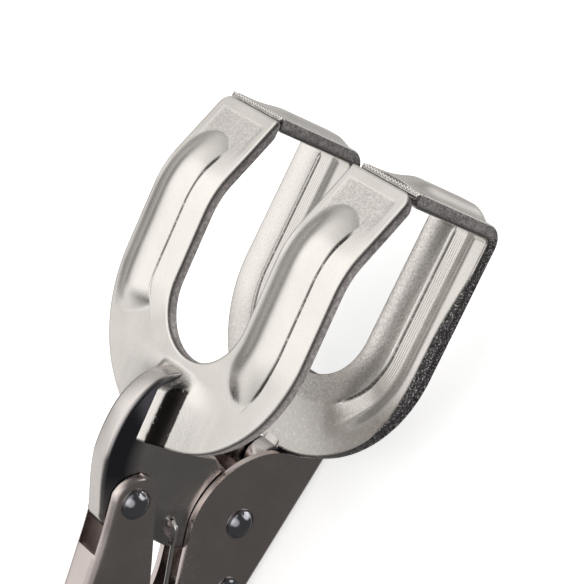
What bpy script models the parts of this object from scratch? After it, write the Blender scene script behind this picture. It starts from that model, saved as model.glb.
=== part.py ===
"""Locking welding clamp with two U-shaped plate jaws, closed and locked.

World frame in metres, +Z up. The clamp lies on the flat back of its fixed handle, z = 0.
x = 0 is below the jaw pivot, +X runs towards the jaw tips and y = 0 is the plane of symmetry.
All sizes below are millimetres.
"""
from math import atan2, cos, degrees, hypot, pi, radians, sin, sqrt

import bmesh
import bpy
from mathutils import Matrix, Vector

MM = 0.001
GAP = 0.3                     # clearance left between neighbouring pieces
SHEET = 1.6                   # sheet thickness of both handles

# Pivots in side view (x, z)
JAW_PIVOT = (0.0, 14.7)
HANDLE_PIVOT = (-5.0, 47.3)
LINK_PIVOT = (-47.5, 22.9)
LEVER_PIVOT = (-80.0, 30.5)
TANG_RIVET = (-15.2, 6.8)
SPRING_ANCHOR = (-46.5, 6.4)
SPRING_EYE = (-6.2, 31.8)
SCREW_Z = 8.7

# Jaws, in the jaw frame: origin on the jaw pivot, a towards the tips, c towards the moving jaw
JAW_TILT = radians(10.5)      # the arms rise from the handle's back at this angle
MATING_C = 22.0               # plane where the two jaws meet
TIP_A = 90.0                  # tips of the pads
FRONT_THICKNESS = 3.1
FRONT_ARC_A = 48.2            # centre of the front jaw's round end
FRONT_INNER, FRONT_OUTER = 13.3, 33.3
FRONT_FACE_C = 32.7           # outer face of the flat part of the front jaw
FRONT_LEAN = radians(25)      # how far its tips lean in towards the mating plane
PILLOW_HEIGHT, PILLOW_HALF = 2.8, 4.8
REAR_THICKNESS = 3.4
REAR_ARC_A = 52.8
REAR_INNER, REAR_OUTER = 14.2, 33.4
REAR_FACE_C = -3.1            # inner face of the rear jaw at its round end
GROOVE_DEPTH, GROOVE_HALF = 2.1, 5.4
NECK_THICKNESS = 6.0

# Handles
FRONT_HALF = NECK_THICKNESS / 2 + GAP        # inner half width where they straddle the jaws
GRIP_HALF = 5.4                              # inner half width along the grips
FIXED_TAIL, MOVING_TAIL = -118.0, -128.0
EAR_RADIUS = 6.6
RIVET_RADIUS, HEAD_RADIUS, HEAD_HEIGHT = 2.4, 4.0, 2.1
PIN_RADIUS, PIN_HEAD_RADIUS, PIN_HEAD_HEIGHT = 1.6, 2.8, 1.2
SCREW_RADIUS = 4.0
FOLD_RADIUS = 0.8                            # inside radius of the channels' folds
WALL_STEPS, CORNER_STEPS = 3, 3
SECTION_STEPS = 2 * WALL_STEPS + 2 * CORNER_STEPS + 1
PIVOT_BOSS = 8.2                             # round ends of the moving jaw's neck
TANG_TOP = 11.4
SCREW_TIP, SCREW_LENGTH = -80.0, 50.0
KNOB_SEAT = 44.0                             # screw tip to the knob's front face
KNOB_RADIUS, KNOB_RIM, KNOB_LENGTH = 8.2, 7.2, 14.8
LINK_LENGTH, LINK_FOOT = 27.0, 4.0           # pivot to the centre of the rounded foot
LINK_HEADING = radians(206.5)                # from its pivot down to the screw's tip
LINK_BOSS = 5.2
LEVER_HALF, LEVER_BOSS = 4.6, 4.4
COLLAR_LENGTH, COLLAR_TOP = 12.0, 15.0
WIRE, COIL_RADIUS, COIL_PITCH, COIL_TURNS = 0.5, 2.4, 1.3, 18

COLLECTION = "locking_u_jaw_clamp"


# ---------------------------------------------------------------- scene helpers

def clear_scene():
    for obj in list(bpy.data.objects):
        bpy.data.objects.remove(obj, do_unlink=True)
    for coll in list(bpy.data.collections):
        bpy.data.collections.remove(coll)


def make_collection(name):
    coll = bpy.data.collections.new(name)
    bpy.context.scene.collection.children.link(coll)
    return coll


def make_material(name, color, roughness, metallic=1.0):
    mat = bpy.data.materials.new(name)
    mat.use_nodes = True
    shader = mat.node_tree.nodes["Principled BSDF"]
    shader.inputs["Base Color"].default_value = (*color, 1.0)
    shader.inputs["Roughness"].default_value = roughness
    shader.inputs["Metallic"].default_value = metallic
    return mat


def add_object(name, mesh, coll, mat=None, smooth=True):
    obj = bpy.data.objects.new(name, mesh)
    coll.objects.link(obj)
    if mat is not None:
        mesh.materials.clear()
        mesh.materials.append(mat)
    if smooth:
        mesh.shade_smooth()
        mesh.set_sharp_from_angle(angle=radians(35))
    return obj


def make_cutter(obj):
    for coll in list(obj.users_collection):
        coll.objects.unlink(obj)
    CUTTERS.objects.link(obj)
    obj.hide_render = True
    obj.display_type = "WIRE"
    return obj


def boolean(obj, tool, operation="DIFFERENCE"):
    mod = obj.modifiers.new(operation.lower(), "BOOLEAN")
    mod.operation = operation
    mod.solver = "EXACT"
    mod.object = make_cutter(tool)


def side(x, z, y=0.0):
    """A point given in side view, in metres."""
    return Vector((x, y, z)) * MM


def set_origin(obj, pivot):
    """Moves an object's origin to a pivot given in side view and leaves its shape in place."""
    offset = side(*pivot)
    obj.data.transform(Matrix.Translation(-offset))
    obj.location = offset


# ---------------------------------------------------------------- shape helpers

def arc(center, radius, start, end, steps):
    """Points on an arc, angles in degrees."""
    points = []
    for i in range(steps + 1):
        angle = radians(start + (end - start) * i / steps)
        points.append((center[0] + radius * cos(angle), center[1] + radius * sin(angle)))
    return points


def spread(start, end, count):
    """Evenly spaced numbers from start up to but not including end."""
    return [start + (end - start) * i / count for i in range(count)]


def smoothstep(low, high, value):
    t = min(1.0, max(0.0, (value - low) / (high - low)))
    return t * t * (3 - 2 * t)


def through(points, x):
    """Smooth curve through a few (x, z) points, given from low x to high x."""
    if x <= points[0][0]:
        return points[0][1]
    for i in range(len(points) - 1):
        (x0, z0), (x1, z1) = points[i], points[i + 1]
        if x <= x1:
            before = points[max(i - 1, 0)]
            after = points[min(i + 2, len(points) - 1)]
            slope0 = (z1 - before[1]) / (x1 - before[0]) * (x1 - x0)
            slope1 = (after[1] - z0) / (after[0] - x0) * (x1 - x0)
            t = (x - x0) / (x1 - x0)
            return ((2 * t ** 3 - 3 * t ** 2 + 1) * z0 + (t ** 3 - 2 * t ** 2 + t) * slope0
                    + (3 * t ** 2 - 2 * t ** 3) * z1 + (t ** 3 - t ** 2) * slope1)
    return points[-1][1]


def outline_plate(name, outline, thickness, mat, y=0.0):
    """Flat plate with a side-view outline, centred on y, as a closed mesh."""
    curve = bpy.data.curves.new(name, "CURVE")
    curve.dimensions = "2D"
    curve.fill_mode = "BOTH"
    curve.extrude = thickness / 2 * MM
    spline = curve.splines.new("POLY")
    spline.points.add(len(outline) - 1)
    spline.use_cyclic_u = True
    for point, (x, z) in zip(spline.points, outline):
        point.co = (x * MM, z * MM, 0.0, 1.0)
    obj = bpy.data.objects.new(name, curve)
    PARTS.objects.link(obj)
    obj.rotation_euler.x = pi / 2
    obj.location.y = y * MM
    return curve_to_mesh(obj, mat, bake=True)


def curve_to_mesh(curve_obj, mat, bake=False):
    """Replaces a curve object by a mesh object with welded caps."""
    bpy.context.view_layer.update()
    graph = bpy.context.evaluated_depsgraph_get()
    mesh = bpy.data.meshes.new_from_object(curve_obj.evaluated_get(graph))
    bm = bmesh.new()
    bm.from_mesh(mesh)
    bmesh.ops.remove_doubles(bm, verts=bm.verts, dist=1e-6)
    bmesh.ops.recalc_face_normals(bm, faces=bm.faces)
    bm.to_mesh(mesh)
    bm.free()
    name, matrix = curve_obj.name, curve_obj.matrix_world.copy()
    bpy.data.objects.remove(curve_obj, do_unlink=True)
    if bake:
        mesh.transform(matrix)
        matrix = Matrix.Identity(4)
    obj = add_object(name, mesh, PARTS, mat)
    obj.matrix_world = matrix
    return obj


def slab(name, steps_u, steps_v, place, mat):
    """A closed slab, bent to shape by place(i, j, w): w is 0 on its first face, 1 on its second."""
    bm = bmesh.new()
    bmesh.ops.create_grid(bm, x_segments=steps_u, y_segments=steps_v, size=0.5)
    lifted = bmesh.ops.extrude_face_region(bm, geom=bm.faces[:])["geom"]
    top = [item for item in lifted if isinstance(item, bmesh.types.BMVert)]
    bmesh.ops.translate(bm, verts=top, vec=(0, 0, 1))
    for vert in bm.verts:
        i = round((vert.co.x + 0.5) * steps_u)
        j = round((vert.co.y + 0.5) * steps_v)
        vert.co = Vector(place(i, j, round(vert.co.z))) * MM
    bmesh.ops.recalc_face_normals(bm, faces=bm.faces)
    mesh = bpy.data.meshes.new(name)
    bm.to_mesh(mesh)
    bm.free()
    return add_object(name, mesh, PARTS, mat)


def turned(name, profile, mat, axis, location, steps=24):
    """Turned piece: profile is (radius, height) from top to bottom, about the Y or X axis."""
    bm = bmesh.new()
    verts = [bm.verts.new((r * MM, 0, h * MM)) for r, h in profile]
    for first, second in zip(verts, verts[1:]):
        bm.edges.new((first, second))
    mesh = bpy.data.meshes.new(name)
    bm.to_mesh(mesh)
    bm.free()
    obj = add_object(name, mesh, PARTS, mat, smooth=False)
    obj.location = location
    if axis == "Y":
        obj.rotation_euler.x = -pi / 2
    if axis == "X":
        obj.rotation_euler.y = pi / 2
    screw = obj.modifiers.new("turn", "SCREW")
    screw.steps = screw.render_steps = steps
    screw.use_merge_vertices = True
    screw.merge_threshold = 0.00001
    screw.use_smooth_shade = True
    return obj


def cross_cylinder(name, center, radius, length, y=0.0, steps=24):
    """Cutter: a cylinder along Y with its centre given in side view."""
    bm = bmesh.new()
    bmesh.ops.create_cone(bm, cap_ends=True, segments=steps, radius1=radius * MM,
                          radius2=radius * MM, depth=length * MM,
                          matrix=Matrix.Rotation(pi / 2, 4, "X"))
    mesh = bpy.data.meshes.new(name)
    bm.to_mesh(mesh)
    bm.free()
    obj = add_object(name, mesh, PARTS)
    obj.location = side(*center, y)
    return make_cutter(obj)


def block(name, low, high, mat=None):
    """Box between two corners in millimetres."""
    bm = bmesh.new()
    bmesh.ops.create_cube(bm, size=1.0)
    for vert in bm.verts:
        vert.co = Vector([(low[k] + high[k]) / 2 + vert.co[k] * (high[k] - low[k])
                          for k in range(3)]) * MM
    mesh = bpy.data.meshes.new(name)
    bm.to_mesh(mesh)
    bm.free()
    return add_object(name, mesh, PARTS, mat, smooth=False)


def bore(obj, center, radius=RIVET_RADIUS + GAP, steps=24):
    boolean(obj, cross_cylinder(obj.name + "_bore", center, radius, 40.0, steps=steps))


# ---------------------------------------------------------------- jaws

def to_jaw_frame(obj):
    """Places an object, modelled in the jaw frame, on the jaw pivot."""
    obj.matrix_world = (Matrix.Translation(side(*JAW_PIVOT))
                        @ Matrix.Rotation(-JAW_TILT, 4, "Y"))


def jaw_point(x, z):
    """Side-view coordinates to the jaw frame's (a, c)."""
    dx, dz = x - JAW_PIVOT[0], z - JAW_PIVOT[1]
    return (dx * cos(JAW_TILT) + dz * sin(JAW_TILT), dz * cos(JAW_TILT) - dx * sin(JAW_TILT))


def u_path(index, arm, arc_steps, radius):
    """Flat-pattern point of a U: (distance past the round end's centre, across)."""
    last = len(arm) - 1
    if index <= last:
        return arm[last - index], -radius
    if index >= last + arc_steps:
        return arm[index - last - arc_steps], radius
    angle = pi * (index - last) / arc_steps
    return -radius * sin(angle), -radius * cos(angle)


def emboss_distance(along, across, radius, start_angle, end):
    """Distance from the emboss's centre line, which runs down one arm and part of the arc."""
    across = abs(across)
    if along >= 0:
        return hypot(max(0.0, along - end), across - radius)
    angle = atan2(-along, across)
    if angle <= start_angle:
        return abs(hypot(along, across) - radius)
    return hypot(-along - radius * sin(start_angle), across - radius * cos(start_angle))


def follow(segments, distance, start, heading):
    """Side profile made of (length, turn) segments: point and heading at a distance along it."""
    a, c = start
    for number, (length, turn) in enumerate(segments):
        is_last = number == len(segments) - 1
        step = distance if is_last else min(distance, length)
        if turn == 0:
            a, c = a + step * cos(heading), c + step * sin(heading)
        else:
            radius = length / turn
            new = heading + step / radius
            a += radius * (sin(new) - sin(heading))
            c += radius * (cos(heading) - cos(new))
            heading = new
        distance -= step
        if distance <= 0 and not is_last:
            break
    return a, c, heading


ACROSS_STEPS = 12
ARC_STEPS = 20
FRONT_FLAT, FRONT_BEND, FRONT_TIP = 16.0, 9.5, 17.4
FRONT_ARM = (spread(0, FRONT_FLAT, 4) + spread(FRONT_FLAT, FRONT_FLAT + FRONT_BEND, 3)
             + spread(FRONT_FLAT + FRONT_BEND, FRONT_FLAT + FRONT_BEND + FRONT_TIP, 5)
             + [FRONT_FLAT + FRONT_BEND + FRONT_TIP])
PILLOW_ARC = radians(23)      # where the pillow's centre line ends on the arc
PILLOW_END = 27.5             # and where it ends towards the tip


def front_place(i, j, w):
    """Front jaw plate: w = 0 on its outer face, 1 on its inner face."""
    share = j / ACROSS_STEPS
    radius = FRONT_INNER + (FRONT_OUTER - FRONT_INNER) * share
    along, across = u_path(i, FRONT_ARM, ARC_STEPS, radius)
    segments = [(FRONT_FLAT, 0.0), (FRONT_BEND, -FRONT_LEAN), (FRONT_TIP, 0.0)]
    if along < 0:
        a, c, heading = FRONT_ARC_A + along, FRONT_FACE_C, 0.0
    else:
        a, c, heading = follow(segments, along, (FRONT_ARC_A, FRONT_FACE_C), 0.0)
    middle = (FRONT_INNER + FRONT_OUTER) / 2
    off = emboss_distance(along, across, middle, PILLOW_ARC, PILLOW_END) / PILLOW_HALF
    lift = PILLOW_HEIGHT * max(0.0, 1 - off * off) - FRONT_THICKNESS * w
    return a - lift * sin(heading), across, c + lift * cos(heading)


REAR_HEADING = radians(-2.3)  # the rear jaw's arms open slightly towards the tips
PAD_HEADING = radians(86.5)
BEND_RADIUS = 1.3             # inside radius of the bend between arm and pad
REAR_STRAIGHT = 31.1
REAR_BEND = BEND_RADIUS * (PAD_HEADING - REAR_HEADING)
REAR_PAD = 23.9
REAR_ARM = (spread(0, REAR_STRAIGHT, 6) + spread(REAR_STRAIGHT, REAR_STRAIGHT + REAR_BEND, 4)
            + spread(REAR_STRAIGHT + REAR_BEND, REAR_STRAIGHT + REAR_BEND + REAR_PAD, 5)
            + [REAR_STRAIGHT + REAR_BEND + REAR_PAD])
GROOVE_ARC = radians(38)


def rear_place(i, j, w):
    """Rear jaw plate with its bent pads: w = 0 on its inner face, 1 on its outer face."""
    share = j / ACROSS_STEPS
    radius = REAR_INNER + (REAR_OUTER - REAR_INNER) * share
    along, across = u_path(i, REAR_ARM, ARC_STEPS, radius)
    segments = [(REAR_STRAIGHT, 0.0), (REAR_BEND, PAD_HEADING - REAR_HEADING), (REAR_PAD, 0.0)]
    if along < 0:
        a, c, heading = REAR_ARC_A + along, REAR_FACE_C, REAR_HEADING * (1 + along / REAR_OUTER)
    else:
        a, c, heading = follow(segments, along, (REAR_ARC_A, REAR_FACE_C), REAR_HEADING)
    middle = (REAR_INNER + REAR_OUTER) / 2
    end = REAR_STRAIGHT + REAR_BEND + REAR_PAD
    off = emboss_distance(along, across, middle, GROOVE_ARC, end)
    spread_out = GROOVE_HALF + 1.6 * w
    shape = 1 - smoothstep(0.35 * spread_out, spread_out, off)
    fade = 1 - 0.75 * smoothstep(end - 9.0, end, along)
    depth = GROOVE_DEPTH * shape * fade + REAR_THICKNESS * w
    return a + depth * sin(heading), across, c - depth * cos(heading)


def neck_front():
    """Folded neck of the moving jaw, in the jaw frame."""
    web = [(32.0, 32.0), (30.5, 37.0), (27.5, 41.0), (22.5, 43.6), (17.0, 44.6), (11.0, 44.5),
           (7.5, 43.8), (3.0, 42.2), (-3.0, 39.4)]
    handle_end = arc(jaw_point(*HANDLE_PIVOT), PIVOT_BOSS, 130, 215, 5)
    heel = [(-9.0, 15.0)]
    pivot_end = arc((0.0, 0.0), PIVOT_BOSS, 160, 380, 14)
    throat = [(12.4, 10.6), (14.4, 14.5), (14.4, 22.0), (15.5, 29.5), (18.0, 31.0)]
    return web + handle_end + heel + pivot_end + throat


def neck_rear():
    """Neck and tang of the fixed jaw, in side view."""
    spine = SHEET + GAP
    belly = [(38.0, 16.0), (34.0, 10.5), (29.0, 5.6), (24.0, 2.6), (20.5, spine)]
    tang = [(-19.0, spine)] + arc((-19.0, 6.4), 4.4, -90, -180, 4)[1:] + [(-23.0, 10.0)]
    back = [(-21.5, TANG_TOP), (-11.5, TANG_TOP)]
    pivot = arc(JAW_PIVOT, 8.6, 200, 368, 12)
    knob = [(12.5, 17.0), (15.0, 18.4), (17.6, 18.0), (20.0, 15.6)]
    return [jaw_point(x, z) for x, z in belly + tang + back + pivot + knob]


def build_movable_jaw(mat):
    jaw = slab("movable_jaw", 2 * (len(FRONT_ARM) - 1) + ARC_STEPS, ACROSS_STEPS, front_place, mat)
    boolean(jaw, outline_plate("movable_jaw_neck", neck_front(), NECK_THICKNESS, mat), "UNION")
    trim = block("movable_jaw_trim", (TIP_A - 12, -40, MATING_C - 12),
                 (TIP_A + 5, 40, MATING_C + GAP / 2))
    boolean(jaw, trim)
    for name, center in (("jaw_pivot", JAW_PIVOT), ("handle_pivot", HANDLE_PIVOT)):
        tool = cross_cylinder("movable_jaw_" + name, jaw_point(*center), RIVET_RADIUS + GAP, 40.0)
        boolean(jaw, tool)
    eye = cross_cylinder("movable_jaw_spring_eye", jaw_point(*SPRING_EYE), 1.9, 40.0, steps=16)
    boolean(jaw, eye)
    place_in_jaw_frame(jaw)


def build_fixed_jaw(mat):
    jaw = slab("fixed_jaw", 2 * (len(REAR_ARM) - 1) + ARC_STEPS, ACROSS_STEPS, rear_place, mat)
    boolean(jaw, outline_plate("fixed_jaw_neck", neck_rear(), NECK_THICKNESS, mat), "UNION")
    trim = block("fixed_jaw_trim", (TIP_A - 12, -40, MATING_C - GAP / 2),
                 (TIP_A + 8, 40, MATING_C + 8))
    boolean(jaw, trim)
    tool = cross_cylinder("fixed_jaw_rivet_bore", jaw_point(*TANG_RIVET), PIN_RADIUS + GAP, 40.0)
    boolean(jaw, tool)
    place_in_jaw_frame(jaw)


def place_in_jaw_frame(jaw):
    """Moves a finished jaw and its cutters from the jaw frame to the world."""
    to_jaw_frame(jaw)
    for mod in jaw.modifiers:
        tool = mod.object
        bpy.context.view_layer.update()
        tool.matrix_world = jaw.matrix_world @ tool.matrix_world
    bpy.context.view_layer.update()


# ---------------------------------------------------------------- handles

def channel_section(j, walls, half, web, edge, w):
    """Point j of a folded channel's section: (y, z). w = 0 is the inside, 1 the outside.

    web is the z of the web's inside, and edge that of the walls' free edges.
    """
    radius = FOLD_RADIUS + SHEET * w
    height = abs(edge - web)
    toward = 1 if edge > web else -1
    last = 2 * walls + 2 * CORNER_STEPS + 1
    mirrored = j > last / 2
    k = last - j if mirrored else j
    if k <= walls:
        y, h = half + SHEET * w, height + (FOLD_RADIUS - height) * k / walls
    else:
        angle = pi / 2 * (k - walls) / CORNER_STEPS
        y = half - FOLD_RADIUS + radius * cos(angle)
        h = FOLD_RADIUS - radius * sin(angle)
    return (y if mirrored else -y), web + toward * h


FRONT_DISC = (0.6, 9.6)       # centre of the fixed handle's round front
FRONT_DISC_RADIUS = 19.3
FRONT_LEAN_OUT = 0.28         # below that centre the front edge leans forward
FIXED_EDGE = [(-118.0, 15.2), (-90.0, 15.6), (-60.0, 15.2), (-47.5, 15.6), (-35.0, 16.8),
              (-22.0, 20.2), (-12.0, 24.6), (-5.7, 27.7)]
FIXED_STATIONS = (spread(FIXED_TAIL, -47.5, 6) + spread(-47.5, -5.7, 8)
                  + [FRONT_DISC[0] + FRONT_DISC_RADIUS * cos(radians(angle))
                     for angle in range(108, -1, -12)])


def fixed_handle_place(i, j, w):
    x = FIXED_STATIONS[i]
    if x < -5.0:
        edge = through(FIXED_EDGE, x)
    else:
        edge = FRONT_DISC[1] + sqrt(max(0.0, FRONT_DISC_RADIUS ** 2 - (x - FRONT_DISC[0]) ** 2))
    half = GRIP_HALF + (FRONT_HALF - GRIP_HALF) * smoothstep(-40.0, -14.0, x)
    y, z = channel_section(j, WALL_STEPS, half, SHEET, edge, w)
    lean = FRONT_LEAN_OUT * max(0.0, FRONT_DISC[1] - z) * smoothstep(8.0, 20.0, x)
    return x + lean, y, z


WEB_LINE = [(-128.0, 50.0), (-105.0, 46.3), (-80.0, 41.8), (-60.0, 39.8), (-42.0, 41.8),
            (-17.0, 49.3), (-5.0, 53.9)]
WALL_LINE = [(-128.0, 36.5), (-105.0, 31.5), (-80.0, 25.6), (-62.0, 21.0), (-47.5, 17.4),
             (-36.0, 20.5), (-20.0, 30.5), (-5.0, 40.7)]
EAR_SLOPE = 0.78              # the ears' lower edges keep rising to their front ends
WEB_FRONT = -19.5             # the web ends here and the two ears go on to the pivot
MOVING_STATIONS = (spread(MOVING_TAIL, -62.0, 6) + spread(-62.0, HANDLE_PIVOT[0], 12)
                   + [HANDLE_PIVOT[0] + EAR_RADIUS * cos(radians(angle))
                      for angle in range(90, -1, -15)])


def movable_handle_place(i, j, w):
    x = MOVING_STATIONS[i]
    if x < HANDLE_PIVOT[0]:
        web, edge = through(WEB_LINE, x), through(WALL_LINE, x)
    else:
        reach = sqrt(max(0.0, EAR_RADIUS ** 2 - (x - HANDLE_PIVOT[0]) ** 2))
        web = HANDLE_PIVOT[1] + reach
        edge = WALL_LINE[-1][1] + EAR_SLOPE * (x - WALL_LINE[-1][0])
        web = max(web, edge + 2 * SHEET + 1.0)
    half = GRIP_HALF + (FRONT_HALF - GRIP_HALF) * smoothstep(-68.0, -54.0, x)
    y, z = channel_section(j, WALL_STEPS, half, web - SHEET, edge, w)
    return x, y, z


def build_fixed_handle(mat):
    handle = slab("fixed_handle", len(FIXED_STATIONS) - 1, SECTION_STEPS, fixed_handle_place, mat)
    bore(handle, JAW_PIVOT)
    bore(handle, TANG_RIVET, PIN_RADIUS + GAP, 16)
    bore(handle, SPRING_ANCHOR, PIN_RADIUS + GAP, 16)


def build_movable_handle(mat):
    handle = slab("movable_handle", len(MOVING_STATIONS) - 1, SECTION_STEPS,
                  movable_handle_place, mat)
    set_origin(handle, HANDLE_PIVOT)
    front = block("movable_handle_web_end", (WEB_FRONT, -FRONT_HALF, HANDLE_PIVOT[1] - 12),
                  (HANDLE_PIVOT[0] + 12, FRONT_HALF, HANDLE_PIVOT[1] + 14))
    boolean(handle, front)
    for center in (HANDLE_PIVOT, LINK_PIVOT, LEVER_PIVOT):
        bore(handle, center)


# ---------------------------------------------------------------- small moving pieces

def build_toggle_link(mat):
    foot = (LINK_PIVOT[0] + LINK_LENGTH * cos(LINK_HEADING),
            LINK_PIVOT[1] + LINK_LENGTH * sin(LINK_HEADING))
    tilt = degrees(LINK_HEADING)
    outline = (arc(LINK_PIVOT, LINK_BOSS, tilt + 78, tilt + 282, 12)
               + arc(foot, LINK_FOOT, tilt - 80, tilt + 80, 10))
    link = outline_plate("toggle_link", outline, NECK_THICKNESS, mat)
    set_origin(link, LINK_PIVOT)
    bore(link, LINK_PIVOT)


def build_release_lever(mat):
    x, z = LEVER_PIVOT
    upper = [(x + 17.5, z - 4.2), (x + 15.5, z - 2.6), (x + 8.0, z + 1.4)]
    boss = arc(LEVER_PIVOT, LEVER_BOSS, 40, 140, 6)
    tail_top = [(x - 12.0, z + 1.6), (x - 30.0, z + 3.4), (x - 46.0, z + 6.8)]
    thumb = arc((x - 54.0, z + 6.2), 2.6, 80, 260, 6)
    tail_under = [(x - 46.0, z + 3.8), (x - 30.0, z + 0.8), (x - 12.0, z - 1.2)]
    boss_under = arc(LEVER_PIVOT, LEVER_BOSS, 215, 310, 6)
    nose_under = [(x + 8.0, z - 2.8), (x + 16.5, z - 5.6)]
    outline = upper + boss + tail_top + thumb + tail_under + boss_under + nose_under
    lever = outline_plate("release_lever", outline, 2 * LEVER_HALF, mat)
    set_origin(lever, LEVER_PIVOT)
    bore(lever, LEVER_PIVOT)


def build_screw(mat, knob_mat):
    rod = [(0.0, 0.0), (2.0, -0.3), (3.2, -1.4), (3.4, -3.0), (SCREW_RADIUS, -3.8),
           (SCREW_RADIUS, -SCREW_LENGTH), (0.0, -SCREW_LENGTH)]
    turned("adjusting_screw", rod, mat, "X", side(SCREW_TIP, SCREW_Z))
    socket, floor = SCREW_RADIUS + GAP, KNOB_SEAT - SCREW_LENGTH - GAP
    knob = [(0.0, floor), (socket, floor), (socket, 0.0), (6.0, 0.0), (KNOB_RIM, -1.6),
            (KNOB_RADIUS, -2.6), (KNOB_RADIUS, -13.0), (KNOB_RIM, -14.4), (0.0, -KNOB_LENGTH)]
    turned("screw_knob", knob, knob_mat, "X", side(SCREW_TIP - KNOB_SEAT, SCREW_Z))


def build_collar(mat):
    """Threaded collar held in the tail of the fixed handle."""
    inset = SHEET + GAP
    half = GRIP_HALF - GAP
    collar = block("screw_collar", (FIXED_TAIL + 0.4, -half, inset),
                   (FIXED_TAIL + COLLAR_LENGTH, half, COLLAR_TOP), mat)
    bevel = collar.modifiers.new("bevel", "BEVEL")
    bevel.width = 1.2 * MM
    bevel.segments = 1
    radius, reach = SCREW_RADIUS + GAP, COLLAR_LENGTH
    tool = turned("screw_collar_bore", [(0.0, reach), (radius, reach), (radius, -reach),
                                        (0.0, -reach)],
                  None, "X", side(FIXED_TAIL + COLLAR_LENGTH / 2, SCREW_Z))
    boolean(collar, tool)


def build_spring(mat):
    """Extension spring: a hook through the moving jaw's eye, a coil and a hook on the anchor."""
    per_turn = 8
    eye, anchor = Vector(SPRING_EYE), Vector(SPRING_ANCHOR)
    along = (anchor - eye).normalized()
    length = (anchor - eye).length
    across = Vector((-along.y, along.x))
    reach = NECK_THICKNESS / 2 + GAP + WIRE

    def place(distance, out, y):
        point = eye + along * distance + across * out
        return (point.x, y, point.y)

    coil_end = length - 4.6
    coil_start = coil_end - COIL_PITCH * COIL_TURNS
    points = [place(0.0, 0.0, 1.5), place(0.0, 0.0, -2.6), place(0.5, 0.0, -reach),
              place(3.5, 0.0, -reach), place(6.0, 0.0, -reach), place(8.5, 0.0, -2.6),
              place(coil_start - 2.0, 0.0, -1.6), place(coil_start - 0.8, 0.0, -COIL_RADIUS)]
    for step in range(COIL_TURNS * per_turn + 1):
        angle = 2 * pi * step / per_turn
        points.append(place(coil_start + COIL_PITCH * step / per_turn,
                            COIL_RADIUS * sin(angle), -COIL_RADIUS * cos(angle)))
    loop = PIN_RADIUS + GAP + WIRE
    points.append(place(coil_end + 1.0, 0.6, -0.8))
    for step in range(9):
        angle = radians(145 - 265 * step / 8)
        points.append(place(length + loop * cos(angle), loop * sin(angle), 0.0))

    curve = bpy.data.curves.new("jaw_spring", "CURVE")
    curve.dimensions = "3D"
    curve.bevel_depth = WIRE * MM
    curve.bevel_resolution = 1
    curve.use_fill_caps = True
    spline = curve.splines.new("POLY")
    spline.points.add(len(points) - 1)
    for target, point in zip(spline.points, points):
        target.co = (*(Vector(point) * MM), 1.0)
    obj = bpy.data.objects.new("jaw_spring", curve)
    PARTS.objects.link(obj)
    curve_to_mesh(obj, mat)


def build_rivet(name, center, half_width, mat, radius=RIVET_RADIUS, head=HEAD_RADIUS,
                height=HEAD_HEIGHT):
    """Rivet across the clamp with a domed head on each side."""
    seat = half_width + GAP
    dome = [(head * sin(radians(angle)), seat + height * cos(radians(angle)))
            for angle in range(0, 91, 18)]
    mirrored = [(r, -h) for r, h in reversed(dome)]
    profile = dome + [(radius, seat), (radius, -seat)] + mirrored
    turned(name, profile, mat, "Y", side(*center), steps=20)


def main():
    nickel = make_material("nickel_jaw", (0.78, 0.75, 0.72), 0.30)
    plated = make_material("nickel_handle", (0.60, 0.57, 0.56), 0.32)
    rivet = make_material("rivet_steel", (0.82, 0.81, 0.80), 0.15)
    steel = make_material("screw_steel", (0.55, 0.54, 0.53), 0.30)
    spring = make_material("spring_wire", (0.70, 0.70, 0.70), 0.22)

    build_fixed_handle(plated)
    build_movable_handle(plated)
    build_fixed_jaw(nickel)
    build_movable_jaw(nickel)
    build_toggle_link(plated)
    build_release_lever(plated)
    build_screw(steel, plated)
    build_collar(steel)
    build_spring(spring)
    front, grip = FRONT_HALF + SHEET, GRIP_HALF + SHEET
    build_rivet("jaw_pivot_rivet", JAW_PIVOT, front, rivet)
    build_rivet("handle_pivot_rivet", HANDLE_PIVOT, front, rivet)
    build_rivet("link_rivet", LINK_PIVOT, front, rivet)
    build_rivet("lever_rivet", LEVER_PIVOT, grip, rivet)
    pin = (PIN_RADIUS, PIN_HEAD_RADIUS, PIN_HEAD_HEIGHT)
    build_rivet("tang_rivet", TANG_RIVET, front + 0.1, rivet, *pin)
    build_rivet("spring_anchor_pin", SPRING_ANCHOR, grip, rivet, *pin)


clear_scene()
PARTS = make_collection(COLLECTION)
CUTTERS = make_collection("cutters")
main()
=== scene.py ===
"""Looks for the locking clamp: sculpted plate jaws, folded handles, spring, screw and studio."""

from math import asin, cos, pi, radians, sin, sqrt

import bmesh
import bpy
import numpy as np
from mathutils import Matrix, Vector


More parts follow.
